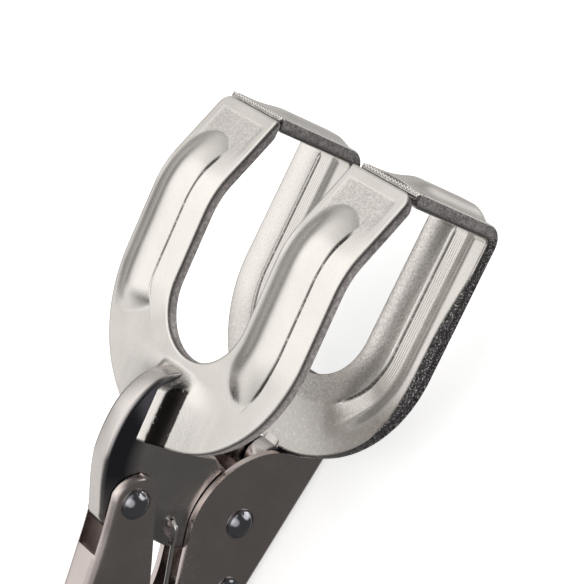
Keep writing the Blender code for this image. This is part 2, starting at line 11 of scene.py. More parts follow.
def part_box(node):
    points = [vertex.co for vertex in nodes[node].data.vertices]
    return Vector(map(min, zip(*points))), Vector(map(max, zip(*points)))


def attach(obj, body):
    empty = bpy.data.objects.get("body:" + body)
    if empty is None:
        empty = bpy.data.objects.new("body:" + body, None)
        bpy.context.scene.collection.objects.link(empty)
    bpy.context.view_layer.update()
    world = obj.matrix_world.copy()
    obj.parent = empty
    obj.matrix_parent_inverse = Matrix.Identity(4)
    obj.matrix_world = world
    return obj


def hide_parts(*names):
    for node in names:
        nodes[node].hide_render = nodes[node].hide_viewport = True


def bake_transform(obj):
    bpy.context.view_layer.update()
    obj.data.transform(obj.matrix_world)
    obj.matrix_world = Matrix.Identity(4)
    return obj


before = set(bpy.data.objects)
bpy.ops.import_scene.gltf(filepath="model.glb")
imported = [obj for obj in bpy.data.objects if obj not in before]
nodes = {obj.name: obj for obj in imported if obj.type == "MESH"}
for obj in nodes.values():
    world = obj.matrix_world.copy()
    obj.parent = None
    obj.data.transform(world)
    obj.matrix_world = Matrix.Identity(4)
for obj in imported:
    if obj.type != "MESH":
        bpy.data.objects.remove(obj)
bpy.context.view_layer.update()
MM = 0.001


def middle(node):
    """Centre of a CAD node's box, in millimetres."""
    low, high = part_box(node)
    return (low + high) / 2 / MM


def corners(node):
    low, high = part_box(node)
    return low / MM, high / MM


JAW_PIVOT = middle("jaw_pivot_rivet")
HANDLE_PIVOT = middle("handle_pivot_rivet")
LINK_PIVOT = middle("link_rivet")
LEVER_PIVOT = middle("lever_rivet")
ANCHOR = middle("spring_anchor_pin")
SCREW_LOW, SCREW_HIGH = corners("adjusting_screw")
KNOB_LOW, KNOB_HIGH = corners("screw_knob")
SCREW_Z = (SCREW_LOW.z + SCREW_HIGH.z) / 2

# Millimetres. The jaw frame is (a, across, c) about the jaw pivot, a toward the tips.
SHEET = 1.6
JAW_TILT = radians(10.5)
MATING_C = 22.0                            # where the jaws' pads meet
HALF_GAP = 0.15
TIP_A = 90.0
TIP_REACH = 12.0                           # the pads' faces are trimmed this close to the tip
NECK_HALF = 3.0
CLEAR_HALF = NECK_HALF + 0.3
SPRING_EYE = (-6.2, 31.8)                  # x, z of the spring's hole in the moving jaw's neck
WELD = 2e-6                                # metres


# ------------------------------------------------------------------ numbers in arrays

def smooth(low, high, value):
    t = np.clip((value - low) / (high - low), 0.0, 1.0)
    return t * t * (3 - 2 * t)


def bell(value, centre, width):
    return np.exp(-((value - centre) / width) ** 2)


def follow(segments, distance, start, heading):
    """Points and headings along a side profile made of (length, turn) segments, for an array."""
    a = np.full_like(distance, start[0])
    c = np.full_like(distance, start[1])
    angle = np.full_like(distance, heading)
    left = np.maximum(distance, 0.0)
    for number, (length, turn) in enumerate(segments):
        step = left if number == len(segments) - 1 else np.minimum(left, length)
        if turn == 0:
            a, c = a + step * np.cos(angle), c + step * np.sin(angle)
        else:
            radius = length / turn
            new = angle + step / radius
            a = a + radius * (np.sin(new) - np.sin(angle))
            c = c + radius * (np.cos(angle) - np.cos(new))
            angle = new
        left = left - step
    return a, c, angle


def to_row(a, across, c):
    """Jaw frame to the row frame."""
    x = JAW_PIVOT.x + a * cos(JAW_TILT) - c * sin(JAW_TILT)
    z = JAW_PIVOT.z + a * sin(JAW_TILT) + c * cos(JAW_TILT)
    return np.stack([x, across, z], -1)


def to_jaw(x, z):
    dx, dz = x - JAW_PIVOT.x, z - JAW_PIVOT.z
    return dx * cos(JAW_TILT) + dz * sin(JAW_TILT), dz * cos(JAW_TILT) - dx * sin(JAW_TILT)


def arc(centre, radius, start, end, steps):
    angles = [radians(start + (end - start) * i / steps) for i in range(steps + 1)]
    return [(centre[0] + radius * cos(t), centre[1] + radius * sin(t)) for t in angles]


def rounded(points, per_side, closed=True):
    """Smooth line through rough points of two or three numbers each."""
    out = []
    count = len(points)
    for i in range(count if closed else count - 1):
        p = [points[(i + k) % count] if closed else points[min(max(i + k, 0), count - 1)]
             for k in (-1, 0, 1, 2)]
        for step in range(per_side):
            t = step / per_side
            out.append(tuple(
                0.5 * (2 * p[1][k] + (p[2][k] - p[0][k]) * t
                       + (2 * p[0][k] - 5 * p[1][k] + 4 * p[2][k] - p[3][k]) * t * t
                       + (3 * p[1][k] - p[0][k] - 3 * p[2][k] + p[3][k]) * t ** 3)
                for k in range(len(points[0]))))
    return out if closed else out + [tuple(points[-1])]


def through(points, x):
    """Smooth curve through a few (x, z) points, given from low x to high x."""
    xs = [p[0] for p in points]
    if x <= xs[0]:
        return points[0][1]
    for i in range(len(points) - 1):
        (x0, z0), (x1, z1) = points[i], points[i + 1]
        if x <= x1:
            before, after = points[max(i - 1, 0)], points[min(i + 2, len(points) - 1)]
            slope0 = (z1 - before[1]) / (x1 - before[0]) * (x1 - x0)
            slope1 = (after[1] - z0) / (after[0] - x0) * (x1 - x0)
            t = (x - x0) / (x1 - x0)
            return ((2 * t ** 3 - 3 * t ** 2 + 1) * z0 + (t ** 3 - 2 * t ** 2 + t) * slope0
                    + (3 * t ** 2 - 2 * t ** 3) * z1 + (t ** 3 - t ** 2) * slope1)
    return points[-1][1]


# ------------------------------------------------------------------ meshes

def make_object(name, verts, faces, mat=None, masks=None):
    """Object from row-frame millimetres; masks are per-vertex numbers for the material."""
    mesh = bpy.data.meshes.new(name)
    mesh.from_pydata([tuple(v) for v in np.asarray(verts, float) * MM], [], faces)
    for key, values in (masks or {}).items():
        layer = mesh.attributes.new(key, "FLOAT", "POINT")
        layer.data.foreach_set("value", np.asarray(values, np.float32).ravel())
    mesh.update()
    mesh.shade_smooth()
    obj = bpy.data.objects.new(name, mesh)
    bpy.context.scene.collection.objects.link(obj)
    if mat is not None:
        mesh.materials.append(mat)
    return obj


def tube(name, grid, mat=None, masks=None):
    """Closed mesh over a grid of (stations, ring, 3) points, with flat ends."""
    stations, count, _ = grid.shape
    faces = []
    for i in range(stations - 1):
        base, up = i * count, (i + 1) * count
        for j in range(count):
            k = (j + 1) % count
            faces.append((base + j, base + k, up + k, up + j))
    faces.append(tuple(range(count - 1, -1, -1)))
    faces.append(tuple((stations - 1) * count + j for j in range(count)))
    obj = make_object(name, grid.reshape(-1, 3), faces, mat, masks)
    face_out(obj)
    return obj


def face_out(obj):
    bm = bmesh.new()
    bm.from_mesh(obj.data)
    bmesh.ops.recalc_face_normals(bm, faces=bm.faces)
    bm.to_mesh(obj.data)
    bm.free()


def turned(name, profile, axis, location, mat, steps, shape=None):
    """Turned piece: profile is (radius, height) about X or Y; shape adds to the radius."""
    rings = np.zeros((len(profile), steps, 3))
    angles = np.linspace(0, 2 * pi, steps, endpoint=False)
    for i, (radius, height) in enumerate(profile):
        r = np.full(steps, max(radius, 0.02))
        if shape is not None:
            r = r + shape(radius, height, angles)
        rings[i, :, 0] = height
        rings[i, :, 1] = r * np.cos(angles)
        rings[i, :, 2] = r * np.sin(angles)
    if axis == "Y":
        rings = rings[:, :, [1, 0, 2]]
    return tube(name, rings + np.array(location), mat)


def plate(name, outline, half, bevel, mat, in_jaw=False):
    """Plate with a side-view outline and rounded edges."""
    curve = bpy.data.curves.new(name, "CURVE")
    curve.dimensions = "2D"
    curve.fill_mode = "BOTH"
    curve.extrude = (half - bevel) * MM
    curve.bevel_depth = bevel * MM
    curve.bevel_resolution = 4
    curve.offset = -bevel * MM
    spline = curve.splines.new("POLY")
    spline.points.add(len(outline) - 1)
    spline.use_cyclic_u = True
    for point, (x, z) in zip(spline.points, outline):
        point.co = (x * MM, z * MM, 0.0, 1.0)
    holder = bpy.data.objects.new(name, curve)
    bpy.context.scene.collection.objects.link(holder)
    matrix = Matrix.Rotation(pi / 2, 4, "X")
    if in_jaw:
        matrix = (Matrix.Translation((JAW_PIVOT.x * MM, 0, JAW_PIVOT.z * MM))
                  @ Matrix.Rotation(-JAW_TILT, 4, "Y") @ matrix)
    graph = bpy.context.evaluated_depsgraph_get()
    mesh = bpy.data.meshes.new_from_object(holder.evaluated_get(graph))
    bpy.data.objects.remove(holder, do_unlink=True)
    mesh.transform(matrix)
    bm = bmesh.new()
    bm.from_mesh(mesh)
    bmesh.ops.remove_doubles(bm, verts=bm.verts, dist=WELD)
    bmesh.ops.recalc_face_normals(bm, faces=bm.faces)
    bm.to_mesh(mesh)
    bm.free()
    mesh.materials.clear()
    mesh.materials.append(mat)
    mesh.shade_smooth()
    mesh.set_sharp_from_angle(angle=radians(40))
    obj = bpy.data.objects.new(name, mesh)
    bpy.context.scene.collection.objects.link(obj)
    return obj


def wire(name, points, radius, mat, sides):
    """Round wire along points, as a closed mesh."""
    points = np.asarray(points, float)
    ahead = np.gradient(points, axis=0)
    ahead /= np.linalg.norm(ahead, axis=1)[:, None]
    normal = np.zeros_like(points)
    start = np.cross(ahead[0], (0.0, 0.0, 1.0))
    normal[0] = start / np.linalg.norm(start)
    for i in range(1, len(points)):
        n = normal[i - 1] - ahead[i] * (normal[i - 1] @ ahead[i])
        normal[i] = n / np.linalg.norm(n)
    other = np.cross(ahead, normal)
    t = np.linspace(0, 2 * pi, sides, endpoint=False)
    grid = (points[:, None] + radius * (np.cos(t)[None, :, None] * normal[:, None]
                                        + np.sin(t)[None, :, None] * other[:, None]))
    return tube(name, grid, mat)


def apply_modifiers(obj):
    bpy.context.view_layer.update()
    graph = bpy.context.evaluated_depsgraph_get()
    mesh = bpy.data.meshes.new_from_object(obj.evaluated_get(graph))
    obj.modifiers.clear()
    obj.data = mesh


def boolean(obj, tool, operation):
    mod = obj.modifiers.new(operation.lower(), "BOOLEAN")
    mod.operation = operation
    mod.solver = "EXACT"
    mod.object = tool
    apply_modifiers(obj)
    bpy.data.objects.remove(tool, do_unlink=True)


def bevel_edges(obj, width):
    mod = obj.modifiers.new("edge", "BEVEL")
    mod.width = width * MM
    mod.segments = 3
    mod.limit_method = "ANGLE"
    mod.angle_limit = radians(40)
    mod.use_clamp_overlap = True
    apply_modifiers(obj)
    obj.data.shade_smooth()
    obj.data.set_sharp_from_angle(angle=radians(60))


# ------------------------------------------------------------------ materials

class Graph:
    """Short way to write a node tree."""

    def __init__(self, tree):
        self.tree = tree
        tree.nodes.clear()

    def add(self, kind, inputs=None, **settings):
        node = self.tree.nodes.new("ShaderNode" + kind)
        for key, value in settings.items():
            setattr(node, key, value)
        for key, value in (inputs or {}).items():
            self.feed(node.inputs[key], value)
        return node

    def feed(self, socket, value):
        if isinstance(value, bpy.types.NodeSocket):
            self.tree.links.new(value, socket)
        elif isinstance(value, bpy.types.Node):
            self.tree.links.new(value.outputs[0], socket)
        elif isinstance(value, tuple) and socket.type == "RGBA":
            socket.default_value = (*value, 1.0)
        else:
            socket.default_value = value

    def math(self, operation, a, b=0.0, clamp=False):
        return self.add("Math", {0: a, 1: b}, operation=operation, use_clamp=clamp).outputs[0]

    def mix(self, factor, a, b):
        node = self.add("Mix", data_type="RGBA")
        self.feed(node.inputs[0], factor)
        self.feed(node.inputs[6], a)
        self.feed(node.inputs[7], b)
        return node.outputs[2]

    def range(self, value, low, high, to_low=0.0, to_high=1.0):
        node = self.add("MapRange", {0: value, 1: low, 2: high, 3: to_low, 4: to_high})
        return node.outputs[0]

    def noise(self, vector, scale, detail=3.0, rough=0.55):
        return self.add("TexNoise", {"Vector": vector, "Scale": scale, "Detail": detail,
                                     "Roughness": rough}).outputs[0]


BRUSHED_ALONG = (0.04, 1.0, 1.0)            # brushing runs along X


def metal(name, color, roughness, pebble, brushed=0.0, spots=0.5, shade=None):
    """Plated steel: cloudy plating, fine pebbling, rough cut edges and painted shade lines from the
    masks.
    """
    mat = bpy.data.materials.new(name)
    mat.use_nodes = True
    g = Graph(mat.node_tree)
    coords = g.add("TexCoord").outputs["Object"]
    mm = g.add("Mapping", {"Vector": coords, "Scale": (1000.0, 1000.0, 1000.0)}).outputs[0]
    edge = g.add("Attribute", attribute_name="cut").outputs["Fac"]
    grain = g.add("Attribute", attribute_name="grain").outputs["Fac"]
    line = g.add("Attribute", attribute_name="line").outputs["Fac"]
    pale = g.add("Attribute", attribute_name="pale").outputs["Fac"]

    cloud = g.noise(mm, 0.11, 4.0)
    fleck = g.noise(mm, 2.6, 2.0, 0.6)
    coarse = g.noise(mm, 1.1, 3.0, 0.6)
    streak = g.noise(g.add("Mapping", {"Vector": mm, "Scale": BRUSHED_ALONG}).outputs[0], 3.2, 4.0)

    tint = g.range(cloud, 0.35, 0.65, 0.92, 1.0)
    base = g.mix(tint, (0.0, 0.0, 0.0), color)
    speck = g.range(fleck, 0.60, 0.68)
    speck = g.math("MULTIPLY", speck, g.math("MULTIPLY", grain, spots))
    base = g.mix(speck, base, (0.34, 0.32, 0.30))
    stipple = g.math("MULTIPLY", g.range(g.noise(mm, 2.1, 1.0), 0.42, 0.56, 0.36, 0.0), grain)
    base = g.mix(stipple, base, (0.36, 0.335, 0.32))
    torn = g.range(coarse, 0.44, 0.60)
    dark_cut = g.mix(torn, (0.010, 0.009, 0.011), (0.055, 0.05, 0.052))
    dark_cut = g.mix(g.range(fleck, 0.57, 0.63), dark_cut, (0.42, 0.40, 0.39))
    pale_cut = g.mix(torn, (0.25, 0.225, 0.22), (0.40, 0.37, 0.355))
    pale_cut = g.mix(g.range(fleck, 0.62, 0.68), pale_cut, (0.16, 0.14, 0.14))
    base = g.mix(edge, base, g.mix(pale, dark_cut, pale_cut))
    # painted shade: the line mask darkens creases, tooth gaps, cut edges and covered spots, broken
    # up by noise
    broken = g.math("MULTIPLY", line, g.range(coarse, 0.34, 0.46, 0.45, 1.0), clamp=True)
    base = g.mix(broken, base, (0.035, 0.03, 0.03))
    metallic = g.math("SUBTRACT", 1.0, g.math("MULTIPLY", edge, 0.75), clamp=True)

    rough = g.math("ADD", g.range(cloud, 0.3, 0.7, roughness - 0.04, roughness + 0.05),
                   g.math("MULTIPLY", g.math("SUBTRACT", streak, 0.5), 0.10 + brushed * 0.3))
    rough = g.math("ADD", rough, g.math("MULTIPLY", edge, 0.14))
    rough = g.math("ADD", rough, g.math("MULTIPLY", grain, 0.07), clamp=True)

    pebbles = g.math("MULTIPLY", g.noise(mm, 1.9, 3.0, 0.6),
                     g.math("ADD", g.math("MULTIPLY", grain, 3.0 * pebble), 0.35 * pebble))
    lines = g.math("MULTIPLY", streak, brushed)
    height = g.math("ADD", g.math("ADD", pebbles, lines), g.math("MULTIPLY", edge,
                    g.math("MULTIPLY", coarse, 3.4)))
    bump = g.add("Bump", {"Height": height, "Strength": 0.55, "Distance": 0.00005})
    if shade is not None:
        base = shade(g, mm, base)
    shader = g.add("BsdfPrincipled", {"Base Color": base, "Roughness": rough, "Metallic": metallic,
                                      "Normal": bump.outputs[0]})
    out = g.add("OutputMaterial")
    g.feed(out.inputs[0], shader)
    return mat


# centre and radii of the painted dark reflection on the neck's walls
SHADE_CENTRE, SHADE_FROM, SHADE_FULL = (13.5, 22.0), 13.0, 17.5      # in the jaw's frame


def neck_shade(g, mm, base):
    """Painted dark reflection on the neck's walls, in a crescent under its folded back."""
    split = g.add("SeparateXYZ", {0: mm}).outputs
    dx, dz = split["X"], g.math("SUBTRACT", split["Z"], float(JAW_PIVOT.z))
    a = g.math("ADD", g.math("MULTIPLY", dx, cos(JAW_TILT)), g.math("MULTIPLY", dz, sin(JAW_TILT)))
    c = g.math("SUBTRACT", g.math("MULTIPLY", dz, cos(JAW_TILT)),
               g.math("MULTIPLY", dx, sin(JAW_TILT)))
    da, dc = (g.math("SUBTRACT", value, at) for value, at in zip((a, c), SHADE_CENTRE))
    out = g.math("SQRT", g.math("ADD", g.math("MULTIPLY", da, da), g.math("MULTIPLY", dc, dc)))
    far = g.range(out, SHADE_FROM, SHADE_FULL)
    ahead = g.range(a, -4.0, 6.0, 0.35, 1.0)
    side = g.range(g.math("ABSOLUTE", split["Y"]), 2.2, 2.95)
    amount = g.math("MULTIPLY", g.math("MULTIPLY", far, ahead), side, clamp=True)
    return g.mix(amount, base, (0.10, 0.10, 0.12))


nickel = metal("nickel_jaw", (0.80, 0.765, 0.735), 0.25, pebble=0.8, spots=0.6)
neck_metal = metal("nickel_neck", (0.66, 0.62, 0.605), 0.23, pebble=0.35, shade=neck_shade)
plated = metal("nickel_handle", (0.69, 0.615, 0.595), 0.24, pebble=0.25, brushed=0.25)
mirror = metal("polished_rivet", (0.34, 0.345, 0.38), 0.07, pebble=0.05)
steel = metal("screw_steel", (0.58, 0.56, 0.54), 0.24, pebble=0.3, brushed=0.2)
knurled = metal("nickel_knob", (0.66, 0.63, 0.61), 0.27, pebble=0.3)
spring_wire = metal("spring_wire", (0.74, 0.73, 0.72), 0.16, pebble=0.15)


# ------------------------------------------------------------------ plate jaws

def arm_stations(length, spacing, extra, corner):
    """Distances along an arm, closer together near its end and at the extra places."""
    values = set(np.round(np.arange(0.0, length - corner, spacing), 4))
    values |= {round(v, 4) for v in extra}
    bends = np.linspace(0, pi / 2, 9)
    values |= {round(length - corner + corner * sin(t), 4) for t in bends}
    out = []
    for v in sorted(values):
        if not out or v - out[-1] > 0.03:
            out.append(v)
    out[-1] = length
    return np.array(out)


def section(stops, thickness, edge_radius):
    """Positions round a plate's section: across, depth below the first face, cut-edge mask."""
    low, high = stops[0], stops[-1]
    r = edge_radius
    face = np.array([s for s in stops if low + r + 0.02 < s < high - r - 0.02])
    turn = np.linspace(0, pi / 2, 6)
    wall = np.linspace(r, thickness - r, 6)[1:-1]
    corner_mask = smooth(0.25, 0.8, turn / (pi / 2))
    across = np.concatenate([face, high - r + r * np.sin(turn), np.full(len(wall), high),
                             high - r + r * np.cos(turn), face[::-1],
                             low + r - r * np.sin(turn), np.full(len(wall), low),
                             low + r - r * np.cos(turn)])
    depth = np.concatenate([np.zeros(len(face)), r - r * np.cos(turn), wall,
                            thickness - r + r * np.sin(turn), np.full(len(face), thickness),
                            thickness - r + r * np.cos(turn), wall[::-1],
                            r - r * np.sin(turn)])
    mask = np.concatenate([np.zeros(len(face)), corner_mask, np.ones(len(wall)),
                           corner_mask[::-1], np.zeros(len(face)), corner_mask,
                           np.ones(len(wall)), corner_mask[::-1]])
    return across, depth, mask


def u_plate(name, arm, arc_angles, stops, thickness, edge_radius, corner, place, mat):
    """U-shaped plate swept along one arm, round and up the other."""
    across, depth, mask = section(stops, thickness, edge_radius)
    low, high = stops[0], stops[-1]
    end = arm[-1]
    stations = ([("arm", v, -1.0) for v in arm[::-1]] + [("arc", t, 0.0) for t in arc_angles[1:-1]]
                + [("arm", v, 1.0) for v in arm])
    grid = np.zeros((len(stations), len(across), 3))
    masks = {key: np.zeros(grid.shape[:2]) for key in ("cut", "grain", "line", "pale")}
    # painted shade line on the cut walls next to the first face, added to the line mask
    rim = bell(depth, edge_radius, 0.45) * (mask > 0.6)
    for i, (kind, value, sign) in enumerate(stations):
        radius, deep = across.copy(), depth.copy()
        if kind == "arm":
            past = max(0.0, value - (end - corner))
            outer = corner - sqrt(max(0.0, corner ** 2 - past ** 2))
            small = edge_radius
            near = max(0.0, value - (end - small))
            inset = small - sqrt(max(0.0, small ** 2 - near ** 2))
            new_low, new_high = low + inset, high - max(outer, inset)
            radius = new_low + (radius - low) * (new_high - new_low) / (high - low)
            deep = inset + deep * (thickness - 2 * inset) / thickness
            along, side = np.full_like(radius, value), sign * radius
        else:
            along, side = -radius * sin(value), -radius * cos(value)
        a, y, c, extra = place(along, side, radius, deep, depth)
        grid[i] = to_row(a, y, c)
        masks["cut"][i] = np.maximum(mask, extra.pop("cut", 0.0))
        for key, values in extra.items():
            masks[key][i] = values
        masks["line"][i] = np.maximum(masks["line"][i], 0.9 * rim)
    masks["cut"][0], masks["cut"][-1] = 1.0, 1.0
    return tube(name, grid, mat, masks)


def around(along, side, radius, centre, arc_ends):
    """Distance toward +Y from an emboss's centre line, and signed distance past its arc end.

    arc_ends are the angles where it ends on the left (+Y) arm and on the right one.
    """
    sign = np.where(side > 0, 1.0, -1.0)
    q = sign * (radius - centre)
    angle = np.arctan2(np.maximum(-along, 0.0), np.abs(side))
    return q, centre * (angle - np.where(side > 0, *arc_ends))


FRONT_INNER, FRONT_OUTER, FRONT_THICKNESS = 13.3, 33.3, 3.1
FRONT_CENTRE = (FRONT_INNER + FRONT_OUTER) / 2 + 0.1
FRONT_ARC_A, FRONT_FACE_C = 48.2, 32.7
FRONT_SEGMENTS = [(16.0, 0.0), (9.5, -radians(25)), (17.4, 0.0)]
FRONT_END = sum(length for length, _ in FRONT_SEGMENTS)
FRONT_CORNER, REAR_CORNER = 2.8, 0.9       # radii at the outside of the arms' ends
PILLOW_HEIGHT, PILLOW_END = 2.7, 27.6
PILLOW_ARC_ENDS = radians(23), radians(22)
CROWN, CREASE, FOOT = 1.3, -4.2, -10.4     # across from the arm's middle
GENTLE_FALL, GENTLE_POWER, STRIP_HEIGHT = 0.42, 1.7, 0.50
STEEP_SIDE, NOSE_HALF, NOSE_LENGTH, NOSE_RISE = 7.7, 6.6, 6.6, 11.0
TAIL_LENGTHS, TAIL_RISES = (1.6, 6.5), (5.0, 13.0)      # left and right arm
PANEL_IN, PANEL_OUT, PANEL_TOP, PANEL_EDGE = 2.2, 2.7, 3.0, 0.4
# how far the sheet is drawn up toward the neck, by distance across
ROOT_ACROSS = [0, 3.0, 3.6, 4.3, 4.9, 5.5, 6.1, 7.0, 8.0, 9.0, 10.0, 11.0, 12.0, 14.0, 17.0]
ROOT_LIFT = [8.6, 6.3, 5.7, 5.0, 3.7, 2.4, 1.35, 1.08, 0.85, 0.66, 0.50, 0.37, 0.27, 0.12, 0.0]


def front_place(along, side, radius, deep, flat_depth):
    """Jaw frame positions and masks for one station of the moving jaw's plate."""
    a, c, heading = follow(FRONT_SEGMENTS, along, (FRONT_ARC_A, FRONT_FACE_C), 0.0)
    a = np.where(along < 0, FRONT_ARC_A + along, a)
    q, past_arc = around(along, side, radius, FRONT_CENTRE, PILLOW_ARC_ENDS)
    past_tip = np.maximum(0.0, along - PILLOW_END)
    steep = np.cos(np.clip((q - CROWN) / STEEP_SIDE, 0, 1) * pi / 2) ** 2
    gentle = 1 - GENTLE_FALL * np.clip((CROWN - q) / (CROWN - CREASE), 0, 1) ** GENTLE_POWER
    strip = STRIP_HEIGHT * np.clip((q - FOOT) / (CREASE - FOOT), 0, 1)
    profile = np.where(q > CROWN, steep, np.where(q > CREASE, gentle, strip))
    plan = np.sqrt(np.maximum(0.0, 1 - ((q - CROWN) / NOSE_HALF) ** 2))
    inward = PILLOW_END + NOSE_LENGTH * plan - along
    nose = 1 - (1 - np.clip(inward / NOSE_RISE, 0, 1)) ** 2
    nose = np.where(q > CREASE, nose, 1 - smooth(PILLOW_END - 7.0, PILLOW_END + 7.0, along))
    inward = np.where(side > 0, *TAIL_LENGTHS) * plan - past_arc
    tail = 1 - (1 - np.clip(inward / np.where(side > 0, *TAIL_RISES), 0, 1)) ** 2
    tail = np.where(q > CREASE, tail, 1 - smooth(-7.0, 6.0, past_arc))
    pillow = profile * nose * tail
    lift = PILLOW_HEIGHT * pillow
    outer_face = 1 - smooth(0.2, 0.7, flat_depth)
    # crease along the foot of the pillow, with a painted shade line along it
    fading = 1 - 0.75 * smooth(-13.0, -3.0, past_arc - np.maximum(along, 0))
    fading = np.where(side > 0, fading, 1.0)
    reach = (1 - smooth(0.0, 2.5, past_tip)) * (1 - smooth(-0.5, 2.5, past_arc))
    line = bell(q, CREASE, 0.12) * reach * outer_face * fading
    crease = 0.22 * bell(q, CREASE, 0.20) * reach * fading
    # coined panel at the tip
    top, inside, outside = FRONT_END - PANEL_TOP, FRONT_INNER + PANEL_IN, FRONT_OUTER - PANEL_OUT
    panel = (smooth(PILLOW_END - 2.0, PILLOW_END + 9.0, along)
             * (1 - smooth(top - 0.35, top, along))
             * smooth(inside, inside + PANEL_EDGE, radius)
             * (1 - smooth(outside - PANEL_EDGE, outside, radius)))
    panel = panel * (1 - smooth(0.0, 0.3, pillow))
    # the sheet is drawn out into the neck
    root = np.interp(np.abs(side), ROOT_ACROSS, ROOT_LIFT)
    spill = smooth(-4.5, -2.0, -np.abs(side) + 0.12 * (a - 22.0))
    root = root * (1 - smooth(27.0, 33.0, a)) * (a < FRONT_ARC_A)
    # painted shade: a dark band along the foot of the neck's root, and a short dark line across its
    # shoulder
    valley_shade = smooth(4.1, 4.6, np.abs(side)) * (1 - smooth(6.2, 7.0, np.abs(side)))
    valley_shade = valley_shade * (1 - smooth(27.0, 31.0, a)) * (1 - 0.95 * spill)
    shoulder_shade = bell(a, 29.6, 2.0) * smooth(-6.8, -5.4, side) * (1 - smooth(-1.0, 1.0, side))
    line = np.maximum(line, outer_face * np.maximum(2.2 * valley_shade * (side < 0), 0.8 * shoulder_shade))
    lift = lift + outer_face * (root - crease - 0.10 * panel)
    height = lift - deep
    a_out = a - height * np.sin(heading)
    c_out = c + height * np.cos(heading)
    c_out = np.where((a_out > TIP_A - TIP_REACH) & (c_out < MATING_C + HALF_GAP),
                     MATING_C + HALF_GAP, c_out)
    a_out = np.minimum(a_out, TIP_A + 0.5)
    grain = 0.08 + 0.9 * panel
    pale = 1 - 0.45 * smooth(FRONT_END - 22.0, FRONT_END - 12.0, along)
    return a_out, side, c_out, {"grain": grain, "line": line, "pale": pale}


REAR_INNER, REAR_OUTER, REAR_THICKNESS = 14.2, 33.4, 3.4
REAR_CENTRE = (REAR_INNER + REAR_OUTER) / 2
REAR_ARC_A, REAR_FACE_C = 52.8, -3.1
REAR_HEADING, PAD_HEADING = radians(-2.3), radians(86.5)
REAR_STRAIGHT, REAR_PAD, REAR_BEND_RADIUS = 31.1, 23.9, 1.3
REAR_BEND = REAR_BEND_RADIUS * (PAD_HEADING - REAR_HEADING)
REAR_SEGMENTS = [(REAR_STRAIGHT, 0.0), (REAR_BEND, PAD_HEADING - REAR_HEADING), (REAR_PAD, 0.0)]
REAR_END = REAR_STRAIGHT + REAR_BEND + REAR_PAD
GROOVE_DEPTH, GROOVE_FOOT, GROOVE_SHARE_LEFT = 2.2, 2.4, 0.55
GROOVE_ARC_ENDS = radians(40), radians(40)
DRAW_DEPTH, DRAW_PITCH = 0.015, 0.62        # fine draw lines along the groove's bottom
SHEARED, SHEARED_DROP = 2.1, 1.0            # broken edge along the outside of the right arm


def rear_place(along, side, radius, deep, flat_depth):
    """Jaw frame positions and masks for one station of the fixed jaw's plate."""
    a, c, heading = follow(REAR_SEGMENTS, along, (REAR_ARC_A, REAR_FACE_C), REAR_HEADING)
    on_arc = along < 0
    a = np.where(on_arc, REAR_ARC_A + along, a)
    heading = np.where(on_arc, REAR_HEADING * (1 + along / REAR_OUTER), heading)
    q, past_arc = around(along, side, radius, REAR_CENTRE, GROOVE_ARC_ENDS)
    wide = 1.6 * np.clip(deep / REAR_THICKNESS, 0, 1)
    wall = (1 - np.clip((q - GROOVE_FOOT + 0.2) / (6.6 + 0.4 * wide), 0, 1)) ** 1.7
    far = smooth(-6.0 - wide, -1.4, q)
    shape = wall * far * (1 - smooth(-7.0, 9.0, past_arc))
    fade = 1 - 0.72 * smooth(REAR_END - 9.0, REAR_END, along)
    fade = fade * np.where(side > 0, GROOVE_SHARE_LEFT, 1.0)
    inner_face = 1 - smooth(0.2, 0.7, flat_depth)
    reach = (1 - smooth(0.5, 4.5, past_arc)) * (1 - smooth(REAR_STRAIGHT - 1, REAR_STRAIGHT, along))
    # painted shade: a line along the groove's foot, and a darker arc where the moving jaw covers
    # the plate
    line = bell(q, GROOVE_FOOT, 0.15) * reach * inner_face
    line = np.maximum(line, 0.24 * smooth(3.0, 15.0, -along))
    crease = bell(q, GROOVE_FOOT, 0.24) * 0.30
    draw = DRAW_DEPTH * np.sin(q * 2 * pi / DRAW_PITCH)
    draw = draw * smooth(-1.6, -0.8, q) * (1 - smooth(1.5, 2.2, q))
    draw = draw * (1 - smooth(-6.0, 0.0, past_arc))
    taper = (1 - smooth(REAR_STRAIGHT - 24.0, REAR_STRAIGHT - 1.0, along)) * (side < 0)
    taper = taper * (1 - smooth(-15.0, 3.0, past_arc))
    width = SHEARED * taper
    broken_in = radius - REAR_OUTER + width
    sheared = np.clip(broken_in / 0.25, 0, 1) * (width > 0.15) * inner_face
    inset = np.clip(broken_in / np.maximum(width, 0.15), 0, 1)
    drop = SHEARED_DROP * taper * inset * (1 - np.clip(deep / REAR_THICKNESS, 0, 1))
    down = GROOVE_DEPTH * shape * fade + deep + drop + inner_face * reach * (crease + draw)
    a_out = a + down * np.sin(heading)
    c_out = c - down * np.cos(heading)
    c_out = np.where((a_out > TIP_A - TIP_REACH) & (c_out > MATING_C - HALF_GAP),
                     MATING_C - HALF_GAP, c_out)
    grain = smooth(GROOVE_FOOT, GROOVE_FOOT + 1.5, q) * (along < REAR_STRAIGHT)
    grain = 0.1 + grain * np.where(side < 0, 0.9, 0.15)
    pale = 0.5 * smooth(REAR_STRAIGHT, REAR_STRAIGHT + REAR_BEND, along)
    return a_out, side, c_out, {"grain": grain, "line": line, "pale": pale, "cut": sheared}


